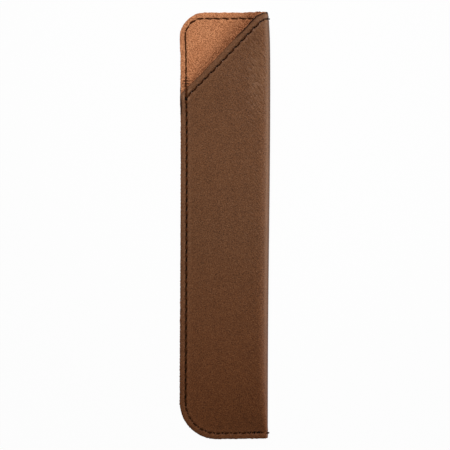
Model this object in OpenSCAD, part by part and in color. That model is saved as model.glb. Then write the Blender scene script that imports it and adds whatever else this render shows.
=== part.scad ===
// Single pen sleeve: one folded sheet of lined leatherette, sewn along the bottom and one side.
// The sleeve lies on its back panel. +Z is up, +X points to the fold and +Y to the mouth.

/* [Sleeve] */
// Length of the sleeve
sleeve_length = 158.75; // [130:0.25:200]
// Width of the folded sheet, from the sewn edge to the fold
sleeve_width = 33.2; // [28:0.1:45]

/* [Sheet] */
// Thickness of the leatherette
skin_thickness = 0.8; // [0.7:0.05:1.5]
// Thickness of the suede-like lining
lining_thickness = 0.4; // [0.2:0.05:1]

/* [Pocket] */
// Height of the pocket inside the fold, at the mouth
mouth_gap = 5.8; // [5:0.1:12]
// Height of the pocket inside the fold, carried down to the bottom
foot_gap = 5.2; // [4:0.1:8]
// Height that stays open inside the fold, at the bottom seam
bottom_gap = 0.6; // [0.4:0.1:1.5]
// Distance above the bottom seam over which the pocket opens
closing_length = 11; // [6:0.5:25]
// How far the front panel bulges, as a share of its rise to the fold
crown = 0.5; // [0:0.05:0.8]
// Distance over which the panels part beside a seam
seam_pinch = 0.8; // [0.3:0.1:2]
// Gap between the two panels where a seam presses them together
seam_gap = 0.06; // [0.03:0.01:0.2]
// How far inside the closing seam the panels stay pressed together
seam_land = 0.6; // [0.4:0.1:1.5]

/* [Outline] */
// Radius of the upper corner of the back panel
top_corner_r = 8.2; // [5:0.1:12]
// Radius of the lower corner of both panels
bottom_corner_r = 14; // [6:0.5:18]
// Angle of the mouth's diagonal edge to the top edge
mouth_angle = 45.5; // [30:0.5:55]
// Distance from the fold to where the diagonal would meet the top edge
mouth_start = 3.2; // [2:0.1:5]
// Radius that eases the diagonal into the top edge
mouth_fillet_r = 5.6; // [3.5:0.1:10]

/* [Seams] */
// Distance of the closing seam from the cut edge
seam_inset = 2.15; // [1.5:0.05:3]
// Distance of the mouth seam from the diagonal edge
mouth_seam_inset = 2.4; // [1.5:0.05:3]
// Length of one stitch
stitch_pitch = 3.2; // [2.4:0.1:5]
// Length of one of the short stitches that lock a seam at the fold
tack_pitch = 1.7; // [1.5:0.1:2.4]
// Number of short stitches at the fold
tack_count = 3; // [1:1:5]
// Thickness of the thread
thread_d = 0.5; // [0.3:0.05:0.6]
// Diameter of a needle hole
needle_hole_d = 1.2; // [1.1:0.05:1.4]
// Depth of the groove that the thread lies in on the back
groove_depth = 0.55; // [0.5:0.01:0.6]

/* [Hidden] */

// Clearance between thread and leather, and between two threads in one hole
thread_clearance = 0.03;
// Width of the groove beyond the thread, on each side
groove_margin = 0.2;
// Angles on the fold, from its middle, of the mouth seam's first and last tack
first_tack_angle = 12;
last_tack_angle = 72;
// Where the thread that wraps the fold ends, below the middle of the fold
wrap_end_angle = -12;
// Distance from the closing seam at which the mouth seam's last stitch ends
mouth_seam_stop = 4;
// Distance above the diagonal edge at which the closing seam pierces the bare back panel
bare_start = 2;
// Distance between the closing seam's ends and the start of the fold's curve
fold_stop = 0.8;
// Slack that keeps the pinch beside a seam smooth
pinch_slack = 0.15;
// Distance from the fold over which the pinch fades out
pinch_fade = 4;
// How far a cutter reaches past the face that it opens
cut_margin = 0.5;
// Number of sides of a thread
thread_sides = 6;
// Rows of the panels' grid along the sleeve
row_count = 28;
// Columns of the grid in the corner, in the rest of a panel and round the fold
corner_columns = 8;
panel_columns = 6;
fold_columns = 12;

hole_fn = 24;
ply = skin_thickness + lining_thickness;
thread_r = thread_d / 2;
hole_r = needle_hole_d / 2;
thread_lift = thread_r + thread_clearance;
fold_proud = thread_lift + thread_r * cos(180 / thread_sides);
left_x = -(sleeve_width + fold_proud) / 2;
right_x = left_x + sleeve_width;
bottom_y = -sleeve_length / 2;
top_y = sleeve_length / 2;
seam_x = left_x + seam_inset;
mouth_corner_x = right_x - mouth_start;

function lerp(a, b, t) = a + (b - a) * t;
function clamp01(t) = min(1, max(0, t));
function unit(v) = v / norm(v);

// Outline

// Drop of a quarter-round corner of radius r at distance d from the side edge
function corner_drop(d, r) = d >= r ? 0 : r - sqrt(r * r - (r - d) * (r - d));

// Drop of the mouth's edge, or of a line inset from it, below the top edge
function mouth_drop(x, inset) =
    let (
        r = mouth_fillet_r - inset,
        start_x = mouth_corner_x + (inset + r) * tan(mouth_angle / 2),
        end_x = start_x - r * sin(mouth_angle)
    )
    inset + (
        x >= start_x ? 0
        : x > end_x ? r - sqrt(r * r - (start_x - x) * (start_x - x))
        : r * (1 - cos(mouth_angle)) + tan(mouth_angle) * (end_x - x)
    );

function bottom_edge(x) = bottom_y + corner_drop(x - left_x, bottom_corner_r);
function back_top_edge(x) = top_y - corner_drop(x - left_x, top_corner_r);
function front_top_edge(x) = top_y - mouth_drop(x, 0);

// Form of the pocket

// Height of the pocket inside the fold
function fold_gap(y) =
    let (
        above_seam = max(0, y - bottom_y - seam_inset - seam_land),
        opened = 1 - exp(-above_seam / closing_length),
        full = lerp(foot_gap, mouth_gap, (y - bottom_y) / sleeve_length)
    )
    lerp(bottom_gap, full, opened);

function fold_x(y) = right_x - ply - fold_gap(y) / 2;

// Distance of a point inside the pressed land of the closing seam, at least zero
function inside_seam(x, y) =
    let (
        dx = x - left_x,
        dy = y - bottom_y,
        r = bottom_corner_r,
        edge = dx < r && dy < r ? r - norm([r - dx, r - dy]) : min(dx, dy)
    )
    max(0, edge - seam_inset - seam_land);

// Height of the pocket between the flat back and the front panel
function gap(x, y) =
    let (
        t = clamp01((x - seam_x) / (fold_x(y) - seam_x)),
        to_fold = max(0, fold_x(y) - x) / pinch_fade,
        s = inside_seam(x, y) + pinch_slack,
        pinch = s / (s + seam_pinch * (1 - exp(-to_fold * to_fold)))
    )
    lerp(seam_gap, fold_gap(y), (t + crown * t * (1 - t)) * pinch);

function front_z(x, y) = 2 * ply + gap(x, y);

function front_normal(x, y) =
    let (d = 0.05)
    unit([
        (front_z(x - d, y) - front_z(x + d, y)) / (2 * d),
        (front_z(x, y - d) - front_z(x, y + d)) / (2 * d),
        1
    ]);

// Point on the fold at an angle from its middle, at a distance out from the pocket
function fold_point(angle, y, out) =
    let (r = fold_gap(y) / 2)
    [fold_x(y) + (r + out) * cos(angle), y, ply + r + (r + out) * sin(angle)];

// Point of the outer face at a place on the front panel or the upper half of the fold, and its normal
function front_surface(x, y) =
    let (angle = acos(clamp01((x - fold_x(y)) / (fold_gap(y) / 2 + ply))))
    x > fold_x(y)
        ? [fold_point(angle, y, ply), [cos(angle), 0, sin(angle)]]
        : [[x, y, front_z(x, y)], front_normal(x, y)];

// Grid of the folded sheet

// A column is [part, place]: its place is a distance from the sewn edge in a panel's corner, a share
// of the way from there to the fold in the rest of a panel, and an angle on the fold.
BACK_CORNER = 0;
BACK_PANEL = 1;
FOLD = 2;
FRONT_PANEL = 3;
FRONT_CORNER = 4;

corner_places = [
    for (i = [0 : corner_columns]) bottom_corner_r * (1 - cos(90 * i / corner_columns))
];
panel_places = [for (i = [1 : panel_columns]) i / panel_columns];

columns = concat(
    [for (d = corner_places) [BACK_CORNER, d]],
    [for (t = panel_places) [BACK_PANEL, t]],
    [for (i = [1 : fold_columns - 1]) [FOLD, -90 + 180 * i / fold_columns]],
    [for (i = [panel_columns - 1 : -1 : 0]) [FRONT_PANEL, panel_places[i]]],
    [for (i = [corner_columns : -1 : 0]) [FRONT_CORNER, corner_places[i]]]
);
column_count = len(columns);

function is_corner(column) = column[0] == BACK_CORNER || column[0] == FRONT_CORNER;

function column_x(column, y) =
    is_corner(column) ? left_x + column[1]
    : column[0] == FOLD ? fold_point(column[1], y, ply)[0]
    : lerp(left_x + bottom_corner_r, fold_x(y), column[1]);

function column_top_once(column, y) =
    let (x = column_x(column, y))
    column[0] < FOLD || (column[0] == FOLD && column[1] < 0) ? back_top_edge(x) : front_top_edge(x);

// The column's place shifts a little along the sleeve, so its end is found in three steps
function column_top(column) =
    column_top_once(column, column_top_once(column, column_top_once(column, top_y)));

function sheet_point(column, y, out) =
    let (x = column_x(column, y))
    column[0] < FOLD ? [x, y, ply - out]
    : column[0] == FOLD ? fold_point(column[1], y, out)
    : [x, y, ply + gap(x, y) + out];

function layer_points(out) = [
    for (column = columns)
        let (low = bottom_edge(column_x(column, bottom_y)), high = column_top(column))
        for (j = [0 : row_count]) sheet_point(column, lerp(low, high, pow(j / row_count, 1.5)), out)
];

// Two triangles over the four corners of a cell
function cell(a, b, c, d) = [[a, b, c], [a, c, d]];

// Triangles of a strip of cells between two lines of point numbers
function strip(a, b) = [
    for (i = [0 : len(a) - 2]) for (f = cell(a[i], a[i + 1], b[i + 1], b[i])) f
];

// One bonded layer of the sheet, between two distances out from the pocket
module sheet_layer(inner, outer) {
    rows = row_count + 1;
    shift = column_count * rows;
    function column_line(i) = [for (j = [0 : row_count]) i * rows + j];
    function row_line(j) = [for (i = [0 : column_count - 1]) i * rows + j];
    function shifted(line) = [for (n = line) n + shift];
    polyhedron(
        points = concat(layer_points(inner), layer_points(outer)),
        faces = concat(
            [for (i = [0 : column_count - 2]) for (f = strip(column_line(i), column_line(i + 1))) f],
            [for (i = [0 : column_count - 2])
                for (f = strip(column_line(i), column_line(i + 1))) [f[2], f[1], f[0]] + [shift, shift, shift]],
            strip(row_line(0), shifted(row_line(0))),
            strip(shifted(row_line(row_count)), row_line(row_count)),
            strip(shifted(column_line(0)), column_line(0)),
            strip(column_line(column_count - 1), shifted(column_line(column_count - 1)))
        )
    );
}

// Closing seam

bottom_seam_y = bottom_y + seam_inset;
top_seam_y = top_y - seam_inset;
bottom_seam_end = fold_x(bottom_seam_y) - fold_stop;
top_seam_end = fold_x(top_seam_y) - fold_stop;
bottom_arc_r = bottom_corner_r - seam_inset;
top_arc_r = top_corner_r - seam_inset;
junction_y = top_y - mouth_drop(seam_x, mouth_seam_inset);
bare_y = front_top_edge(seam_x) + bare_start;

bottom_run = bottom_seam_end - left_x - bottom_corner_r;
bottom_arc = bottom_arc_r * PI / 2;
side_run = sleeve_length - top_corner_r - bottom_corner_r;
top_arc = top_arc_r * PI / 2;
junction_s = bottom_run + bottom_arc + junction_y - bottom_y - bottom_corner_r;
bare_s = junction_s + bare_y - junction_y;
seam_s = bottom_run + bottom_arc + side_run + top_arc + top_seam_end - left_x - top_corner_r;

// Point of the closing seam at a length s from its end at the bottom of the fold
function closing_xy(s) =
    let (
        s1 = s - bottom_run,
        s2 = s1 - bottom_arc,
        s3 = s2 - side_run,
        s4 = s3 - top_arc,
        a1 = s1 / bottom_arc_r * 180 / PI,
        a3 = s3 / top_arc_r * 180 / PI
    )
    s1 < 0 ? [bottom_seam_end - s, bottom_seam_y]
    : s2 < 0 ? [
        left_x + bottom_corner_r - bottom_arc_r * sin(a1),
        bottom_y + bottom_corner_r - bottom_arc_r * cos(a1)
    ]
    : s3 < 0 ? [seam_x, bottom_y + bottom_corner_r + s2]
    : s4 < 0 ? [
        left_x + top_corner_r - top_arc_r * cos(a3),
        top_y - top_corner_r + top_arc_r * sin(a3)
    ]
    : [left_x + top_corner_r + s4, top_seam_y];

tack_run = tack_count * tack_pitch;
covered_count = round((junction_s - tack_run) / stitch_pitch);
bare_count = round((seam_s - bare_s) / stitch_pitch);

// Lengths at which the closing seam is pierced: the tacks, both panels, then the bare back panel
covered_s = concat(
    [for (i = [0 : tack_count - 1]) i * tack_pitch],
    [for (i = [0 : covered_count]) lerp(tack_run, junction_s, i / covered_count)]
);
bare_s_list = [for (i = [0 : bare_count]) lerp(bare_s, seam_s, i / bare_count)];
covered_xy = [for (s = covered_s) closing_xy(s)];
bare_xy = [for (s = bare_s_list) closing_xy(s)];
closing_xys = concat(covered_xy, bare_xy);
last_covered = len(covered_xy) - 1;

// A hole is [point on the thread's side, normal out of the leather there, depth to the middle]
closing_holes = concat(
    [for (p = covered_xy)
        let (face = front_surface(p[0], p[1]))
        [face[0], face[1], (face[0][2] - groove_depth) / 2]],
    [for (p = bare_xy) [[p[0], p[1], ply], [0, 0, 1], (ply - groove_depth) / 2]]
);
closing_back_holes = [
    for (h = closing_holes) [[h[0][0], h[0][1], groove_depth], [0, 0, -1], h[2]]
];

// Mouth seam

function mouth_seam_y(x) = top_y - mouth_drop(x, mouth_seam_inset);
function tack_y(angle) = mouth_seam_y(fold_point(angle, top_y, ply)[0]);

// Tacks climb the fold, the other stitches follow the diagonal down to the closing seam
inner_climb = fold_gap(top_y) / 2 * (last_tack_angle - first_tack_angle) * PI / 180;
climb_count = max(1, min(tack_count, round(inner_climb / tack_pitch)));
tack_angles = [
    for (i = [0 : climb_count]) lerp(first_tack_angle, last_tack_angle, i / climb_count)
];
mouth_last_x = seam_x + mouth_seam_stop * cos(mouth_angle);
mouth_first_x = fold_point(last_tack_angle, top_y, ply)[0] - stitch_pitch * cos(mouth_angle);
mouth_count = round((mouth_first_x - mouth_last_x) / (stitch_pitch * cos(mouth_angle)));
mouth_xs = [for (i = [0 : mouth_count]) lerp(mouth_first_x, mouth_last_x, i / mouth_count)];

mouth_holes = concat(
    [for (a = tack_angles) [fold_point(a, tack_y(a), ply), [cos(a), 0, sin(a)], ply / 2]],
    [for (x = mouth_xs) concat(front_surface(x, mouth_seam_y(x)), [ply / 2])]
);
mouth_inner_holes = [for (h = mouth_holes) [h[0] - ply * h[1], -h[1], h[2]]];

// Needle holes

module along(point, normal) {
    translate(point)
        rotate([0, acos(normal[2]), atan2(normal[1], normal[0])])
            children();
}

module needle_holes() {
    for (h = closing_holes)
        translate([h[0][0], h[0][1], -cut_margin])
            cylinder(d = needle_hole_d, h = h[0][2] + 2 * cut_margin, $fn = hole_fn);
    for (h = mouth_holes)
        along(h[0], h[1])
            translate([0, 0, -ply - cut_margin])
                cylinder(d = needle_hole_d, h = ply + 2 * cut_margin, $fn = hole_fn);
}

// Unit normal of a plane line of points at point i, on its left
function side_of(points, i) =
    let (t = unit(points[min(len(points) - 1, i + 1)] - points[max(0, i - 1)]))
    [-t[1], t[0]];

// Groove along the back, for the thread to lie in below the face
module back_groove() {
    half = thread_r + groove_margin;
    last = len(closing_xys) - 1;
    translate([0, 0, -cut_margin])
        linear_extrude(height = groove_depth + cut_margin)
            polygon(concat(
                [for (i = [0 : last]) closing_xys[i] + half * side_of(closing_xys, i)],
                [for (i = [last : -1 : 0]) closing_xys[i] - half * side_of(closing_xys, i)]
            ));
}

// Threads

// A thread's line is a list of [point, normal of the leather there]

// Dip of the thread into a hole and out again, along direction t
function dip(h, t) =
    let (
        p = h[0],
        n = h[1],
        rim = hole_r + thread_clearance,
        shoulder = 0.55 * hole_r,
        low = h[2] - thread_r - thread_clearance / 2
    )
    [
        [p - rim * t + thread_lift * n, n],
        [p - shoulder * t + 0.6 * thread_lift * n, n],
        [p - low * n, n],
        [p + shoulder * t + 0.6 * thread_lift * n, n],
        [p + rim * t + thread_lift * n, n]
    ];

function hole_direction(holes, i) =
    let (
        n = holes[i][1],
        v = holes[min(len(holes) - 1, i + 1)][0] - holes[max(0, i - 1)][0]
    )
    unit(v - (v * n) * n);

// Whole line: the dips, with one point between each two holes
function stitch_line(holes, middles) = [
    for (i = [0 : len(holes) - 1])
        for (p = concat(
            dip(holes[i], hole_direction(holes, i)),
            i < len(middles) ? [middles[i]] : []
        )) p
];

function drop_ends(line) = [for (i = [2 : len(line) - 3]) line[i]];

// Middle of a stitch over a hollow or flat face
function between(holes, i) =
    let (n = unit(holes[i][1] + holes[i + 1][1]))
    [(holes[i][0] + holes[i + 1][0]) / 2 + thread_lift * n, n];

// Middle of a stitch over the outer face, which may be crowned
function over_front(holes, i) =
    let (
        m = (holes[i][0] + holes[i + 1][0]) / 2,
        face = front_surface(m[0], m[1])
    )
    [face[0] + thread_lift * face[1], face[1]];

module thread(line) {
    count = len(line);
    last = count - 1;
    sides = thread_sides;
    points = [
        for (i = [0 : last])
            let (
                t = unit(line[min(last, i + 1)][0] - line[max(0, i - 1)][0]),
                s = unit(cross(t, line[i][1])),
                u = cross(s, t)
            )
            for (k = [0 : sides - 1])
                line[i][0] + thread_r * (cos(360 * k / sides) * s + sin(360 * k / sides) * u)
    ];
    polyhedron(
        points = points,
        faces = concat(
            [for (k = [1 : sides - 2]) [0, k + 1, k]],
            [for (i = [0 : last - 1], k = [0 : sides - 1])
                let (a = i * sides + k, b = i * sides + (k + 1) % sides)
                for (f = cell(a, b, b + sides, a + sides)) f],
            [for (k = [1 : sides - 2]) [last * sides, last * sides + k, last * sides + k + 1]]
        )
    );
}

// Wrap of a thread over the fold, from below its middle to an angle
function fold_wrap(y, to_angle, steps) = [
    for (i = [0 : steps])
        let (a = lerp(wrap_end_angle, to_angle, i / steps))
        [fold_point(a, y, ply + thread_lift), [cos(a), 0, sin(a)]]
];

// The stitch that leaves the front panel steps down past its edge
closing_middles = [
    for (i = [0 : len(closing_holes) - 2])
        let (p = closing_holes[i][0])
        i < last_covered ? over_front(closing_holes, i)
        : i == last_covered
            ? [[p[0], front_top_edge(p[0]) + thread_lift, p[2] + thread_lift], [0, 0, 1]]
        : between(closing_holes, i)
];
closing_back_middles = [
    for (i = [0 : len(closing_holes) - 2]) between(closing_back_holes, i)
];
mouth_middles = [for (i = [0 : len(mouth_holes) - 2]) over_front(mouth_holes, i)];
mouth_inner_middles = [
    for (i = [0 : len(mouth_holes) - 2]) between(mouth_inner_holes, i)
];

// The mouth seam's wrap meets the rim of its first hole
mouth_wrap_angle = first_tack_angle - needle_hole_d / (fold_gap(top_y) / 2 + ply) * 180 / PI;

function drop_last(line) = [for (i = [0 : len(line) - 3]) line[i]];

// Pieces

module outer_skin() {
    color([0.36, 0.25, 0.17])
        difference() {
            sheet_layer(lining_thickness, ply);
            needle_holes();
            back_groove();
        }
}

module suede_lining() {
    color([0.72, 0.47, 0.31])
        difference() {
            sheet_layer(0, lining_thickness);
            needle_holes();
        }
}

module closing_needle_thread() {
    color([0.2, 0.1, 0.05])
        thread(concat(
            fold_wrap(bottom_seam_y, 90, 6),
            drop_last(stitch_line(closing_holes, closing_middles))
        ));
}

module closing_bobbin_thread() {
    color([0.22, 0.12, 0.07])
        thread(drop_ends(stitch_line(closing_back_holes, closing_back_middles)));
}

module mouth_needle_thread() {
    color([0.2, 0.1, 0.05])
        thread(concat(
            fold_wrap(tack_y(first_tack_angle), mouth_wrap_angle, 1),
            drop_last(stitch_line(mouth_holes, mouth_middles))
        ));
}

module mouth_bobbin_thread() {
    color([0.22, 0.12, 0.07])
        thread(drop_ends(stitch_line(mouth_inner_holes, mouth_inner_middles)));
}

outer_skin();
suede_lining();
closing_needle_thread();
closing_bobbin_thread();
mouth_needle_thread();
mouth_bobbin_thread();
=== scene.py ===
"""Single pen sleeve: one folded sheet of lined leatherette, sewn along the bottom and one side.

The sheet is drawn as a flat pattern, folded over its pocket, and sewn with four twisted threads.
Lengths are in millimetres until a mesh is made, and angles are in degrees.
"""

import math

import bpy
import numpy as np
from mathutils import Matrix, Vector
from mathutils.geometry import delaunay_2d_cdt
from mathutils.kdtree import KDTree


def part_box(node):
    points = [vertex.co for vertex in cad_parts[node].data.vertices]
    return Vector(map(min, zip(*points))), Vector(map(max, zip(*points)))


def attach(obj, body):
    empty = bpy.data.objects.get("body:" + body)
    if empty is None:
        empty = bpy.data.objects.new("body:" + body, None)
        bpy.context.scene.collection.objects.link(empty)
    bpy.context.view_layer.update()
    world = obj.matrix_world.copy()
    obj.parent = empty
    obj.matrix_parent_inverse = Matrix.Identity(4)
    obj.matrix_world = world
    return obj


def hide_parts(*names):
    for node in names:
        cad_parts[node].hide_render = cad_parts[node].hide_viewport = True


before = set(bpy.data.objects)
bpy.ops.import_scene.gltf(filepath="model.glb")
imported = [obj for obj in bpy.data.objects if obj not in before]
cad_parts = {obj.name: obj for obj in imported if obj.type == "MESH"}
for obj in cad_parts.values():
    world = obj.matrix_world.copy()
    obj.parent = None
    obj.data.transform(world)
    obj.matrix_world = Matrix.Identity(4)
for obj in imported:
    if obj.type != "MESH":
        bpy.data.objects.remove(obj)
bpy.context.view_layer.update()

MM = 0.001
scene = bpy.context.scene

# Sheet

skin_lo, skin_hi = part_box("outer_skin")
LEFT_X, BOTTOM_Y = skin_lo.x / MM, skin_lo.y / MM
RIGHT_X, TOP_Y = skin_hi.x / MM, skin_hi.y / MM
LENGTH = TOP_Y - BOTTOM_Y

# Thickness of the lining, and of both layers together
LINING = 0.4
PLY = 1.2

# Pocket

MOUTH_GAP = 5.8
FOOT_GAP = 5.2
BOTTOM_GAP = 0.6
CLOSING_LENGTH = 11
CROWN = 0.5
SEAM_PINCH = 0.8
SEAM_GAP = 0.06
SEAM_LAND = 0.6
PINCH_SLACK = 0.15
PINCH_FADE = 4
FOLD_EASE = 0.16

# Outline

TOP_CORNER_R = 8.2
TOP_CUT_R = 9.2
BOTTOM_CORNER_R = 14
MOUTH_ANGLE = 45.5
MOUTH_START = 3.2
MOUTH_FILLET_R = 5.6

# How the sleeve departs from its pattern: it leans, and its edges and panels aren't straight

LEAN = 0.0055
SIDE_SWAY = 0.36
SIDE_TURN_Y = 56
SIDE_TURN_LENGTH = 35
FOLD_SWAY = 0.16
FOLD_SWAY_SHIFT = 4
FOLD_TUCK = 0.95
FOLD_TUCK_LENGTH = 5.5
FOOT_LIFT = 0.15
FOLD_FOOT_LIFT = 0.33
FOOT_LIFT_LENGTH = 15
TOP_PUFF = 0.25
PUFF_INSET = 3.4
PUFF_WIDTH = 2.4
PUFF_LENGTH = 3
EDGE_SAG = 0.45
SAG_INSET = 2.6
SAG_WIDTH = 2.4
PANEL_WAVE = 0.07
PANEL_WAVE_LENGTH = 22
PANEL_WAVE_FADE = 6
WAVE_COUNT = 9
WAVE_SPREAD = (0.7, 1.5)

# Places along the side where it bulges, each with its width and amount
SIDE_BULGES = ((49, 5, 0.25), (71, 5, 0.26))

# Seams: their places, and the steps along their lines

SEAM_INSET = 2.15
SEAM_X = LEFT_X + SEAM_INSET
MOUTH_SEAM_INSET = 2.4
STITCH_PITCH = 3.2
TACK_PITCH = 1.7
TACK_COUNT = 3
WRAP_END_ANGLE = -12
MOUTH_WRAP_ANGLE = -4
CLIMB_ANGLES = (12, 42, 72)
CLIMB_REST = 0.25
FOLD_STOP = 0.8
JUNCTION_STOP = 0.15
BARE_START = 2
SIDE_BLEND = 3
COVERED = 0.05
SEAM_STEP = 0.1
MOUTH_STEP = 0.07
MOUTH_WRAP_POINTS = 80
TOLERANCE = 1e-6
FAR = 1e3

# Seams: the relief that they press into the sheet

SEAM_REACH = 2.6
HOLE_SLANT = 32
SIDE_HOLE_SLANT = 4
HOLE_LENGTH = 0.52
SIDE_HOLE_LENGTH = 0.68
HOLE_WIDTH = 0.25
HOLE_DEPTH = 0.55
GROOVE_DEPTH = 0.18
GROOVE_WIDTH = 0.46
GROOVE_DIP = 0.2
GROOVE_DIP_LENGTH = 0.6
FOOT_GROOVE_SHARE = 0.35
SHOULDER = 0.09
SHOULDER_PLACE = 1.0
SHOULDER_WIDTH = 0.5
PUCKER = 0.12
PUCKER_PLACE = 0.62
PUCKER_WIDTH = 0.26
PUCKER_LENGTH = 0.5

# Half of the width that the fold takes on the pattern
FOLD_HALF = 6.0


def lerp(a, b, t):
    return a + (b - a) * t


def bell(x, middle, width):
    """A hump of height 1 that has fallen to 1/e at its width from the middle."""
    return np.exp(-(((x - middle) / width) ** 2))


def ramp(x, start, end):
    """0 up to the start, 1 from the end on, and in proportion between them."""
    return np.clip((x - start) / (end - start), 0, 1)


def mouth_drop(x, inset):
    """Drop of the mouth's edge, or of a line inset from it, below the top edge."""
    r = MOUTH_FILLET_R - inset
    a = math.radians(MOUTH_ANGLE)
    start_x = RIGHT_X - MOUTH_START + (inset + r) * math.tan(a / 2)
    end_x = start_x - r * math.sin(a)
    run = np.clip(start_x - x, 0, start_x - end_x)
    slope = r * (1 - math.cos(a)) + math.tan(a) * (end_x - x)
    return inset + np.where(x > end_x, r - np.sqrt(r * r - run * run), slope)


def edge_sag(x):
    """How much lower the mouth's edge lies where it turns over the fold."""
    return EDGE_SAG * bell(x, RIGHT_X - SAG_INSET, SAG_WIDTH)


def mouth_y(x, inset=0):
    """Where the mouth's edge lies along the sleeve, or a line inset from it."""
    return TOP_Y - mouth_drop(x, inset) - edge_sag(x)


def fold_gap(y):
    """Height of the pocket inside the fold."""
    above_seam = np.maximum(0, y - BOTTOM_Y - SEAM_INSET - SEAM_LAND)
    opened = 1 - np.exp(-above_seam / CLOSING_LENGTH)
    return lerp(BOTTOM_GAP, lerp(FOOT_GAP, MOUTH_GAP, (y - BOTTOM_Y) / LENGTH), opened)


def fold_x(y):
    """Where the flat panels end and the fold's half-round begins."""
    return RIGHT_X - PLY - fold_gap(y) / 2


def waves(u, v, length, seed):
    """Smooth noise of about unit height, from plane waves of one typical length."""
    source = np.random.default_rng(seed)
    total = np.zeros(np.broadcast(u, v).shape)
    for _ in range(WAVE_COUNT):
        turn, phase = source.uniform(0, 2 * math.pi, 2)
        k = 2 * math.pi / (length * source.uniform(*WAVE_SPREAD))
        total += np.cos(k * (u * math.cos(turn) + v * math.sin(turn)) + phase)
    return total / math.sqrt(WAVE_COUNT)


def rise(t):
    """Share of the front panel's rise at a share of its width, level where the fold begins."""
    start = 1 - FOLD_EASE
    crowned = t + CROWN * t * (1 - t)
    at_start = start + CROWN * start * (1 - start)
    slope = (1 + CROWN * (1 - 2 * start)) * FOLD_EASE
    s = ramp(t, start, 1)
    settled = 3 * s**2 - 2 * s**3
    eased = at_start * (1 - settled) + slope * (s**3 - 2 * s**2 + s) + settled
    return np.where(t > start, eased, crowned)


def gap(x, y):
    """Height of the pocket between the flat back and the front panel."""
    t = ramp(x, SEAM_X, fold_x(y))
    to_fold = np.maximum(0, fold_x(y) - x) / PINCH_FADE
    dx, dy = x - LEFT_X, y - BOTTOM_Y
    r = BOTTOM_CORNER_R
    edge = np.where((dx < r) & (dy < r), r - np.hypot(r - dx, r - dy), np.minimum(dx, dy))
    s = np.maximum(0, edge - SEAM_INSET - SEAM_LAND) + PINCH_SLACK
    pinch = s / (s + SEAM_PINCH * (1 - np.exp(-to_fold * to_fold)))
    wave = PANEL_WAVE * waves(x, y, PANEL_WAVE_LENGTH, seed=3)
    wave *= ramp(s, 0, PANEL_WAVE_FADE) * (1 - np.exp(-to_fold))
    return lerp(SEAM_GAP, fold_gap(y), rise(t) * pinch) + wave


# The pattern has u across the sheet and v along the sleeve. The fold lies between -FOLD_HALF and
# FOLD_HALF, the back panel on the side of negative u and the front panel on the other.

BACK, FRONT = -1, 1


def pattern_u(side, x, y):
    return side * (FOLD_HALF + fold_x(y) - x)


def panel_x(u, v):
    return fold_x(v) + FOLD_HALF - np.abs(u)


def settle(x, y, is_back):
    """Shift of a point along x and y, from the lean of the sleeve and the sway of its edges."""
    share = ramp(x, LEFT_X, RIGHT_X)
    side_sway = SIDE_SWAY * np.tanh((SIDE_TURN_Y - y) / SIDE_TURN_LENGTH)
    for place_y, width, amount in SIDE_BULGES:
        side_sway = side_sway - amount * bell(y, place_y, width)
    tuck = FOLD_TUCK * np.exp(-(TOP_Y - y) / FOLD_TUCK_LENGTH)
    fold_sway = FOLD_SWAY * np.sin((y + FOLD_SWAY_SHIFT) / LENGTH * 2 * math.pi) - tuck
    foot = np.exp(-(y - BOTTOM_Y) / FOOT_LIFT_LENGTH)
    lift = (FOOT_LIFT + FOLD_FOOT_LIFT * share**3) * foot
    puff = is_back * TOP_PUFF * bell(x, RIGHT_X - PUFF_INSET, PUFF_WIDTH)
    puff *= np.exp(-(TOP_Y - y) / PUFF_LENGTH)
    return LEAN * y + lerp(side_sway, fold_sway, share), lift + puff


def place(u, v, out):
    """Points of the folded sheet, at a distance out from its pocket face."""
    u, v, out = np.broadcast_arrays(*(np.asarray(a, float) for a in (u, v, out)))
    x_flat = panel_x(u, v)
    r = fold_gap(v) / 2
    angle = np.clip(u / FOLD_HALF, -1, 1) * math.pi / 2
    front, back = u >= FOLD_HALF, u <= -FOLD_HALF
    x = np.where(front | back, x_flat, fold_x(v) + (r + out) * np.cos(angle))
    z = PLY + r + (r + out) * np.sin(angle)
    z = np.where(front, PLY + gap(x_flat, v) + out, np.where(back, PLY - out, z))
    along_x, along_y = settle(x, v, u < 0)
    return np.stack([x + along_x, v + along_y, z], axis=-1)


# Lines on the pattern


def tree_of(points):
    """A tree for finding the nearest of the pattern points."""
    tree = KDTree(len(points))
    for i, (u, v) in enumerate(points):
        tree.insert((u, v, 0), i)
    tree.balance()
    return tree


def lengths_along(points):
    """Length of the line from its start to each of its points."""
    return np.concatenate([[0], np.cumsum(np.linalg.norm(np.diff(points, axis=0), axis=1))])


def left_of(directions):
    """Unit vectors to the left of the directions."""
    unit = directions / np.linalg.norm(directions, axis=1, keepdims=True)
    return np.stack([-unit[:, 1], unit[:, 0]], axis=-1)


def line(a, b):
    return np.linspace(a, b, max(2, int(math.dist(a, b) / SEAM_STEP) + 1))


def arc(centre, radius, start, end):
    n = max(2, int(radius * abs(math.radians(end - start)) / SEAM_STEP) + 1)
    a = np.radians(np.linspace(start, end, n))
    return np.stack([centre[0] + radius * np.cos(a), centre[1] + radius * np.sin(a)], axis=-1)


def join(*parts):
    """One line from several, without the points that repeat."""
    points = np.concatenate(parts)
    apart = np.hypot(*np.diff(points, axis=0).T) > TOLERANCE
    return points[np.concatenate([[True], apart])]


def on_panel(side, xy):
    x, y = xy.T
    return np.stack([pattern_u(side, x, y), y], axis=-1)


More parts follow.
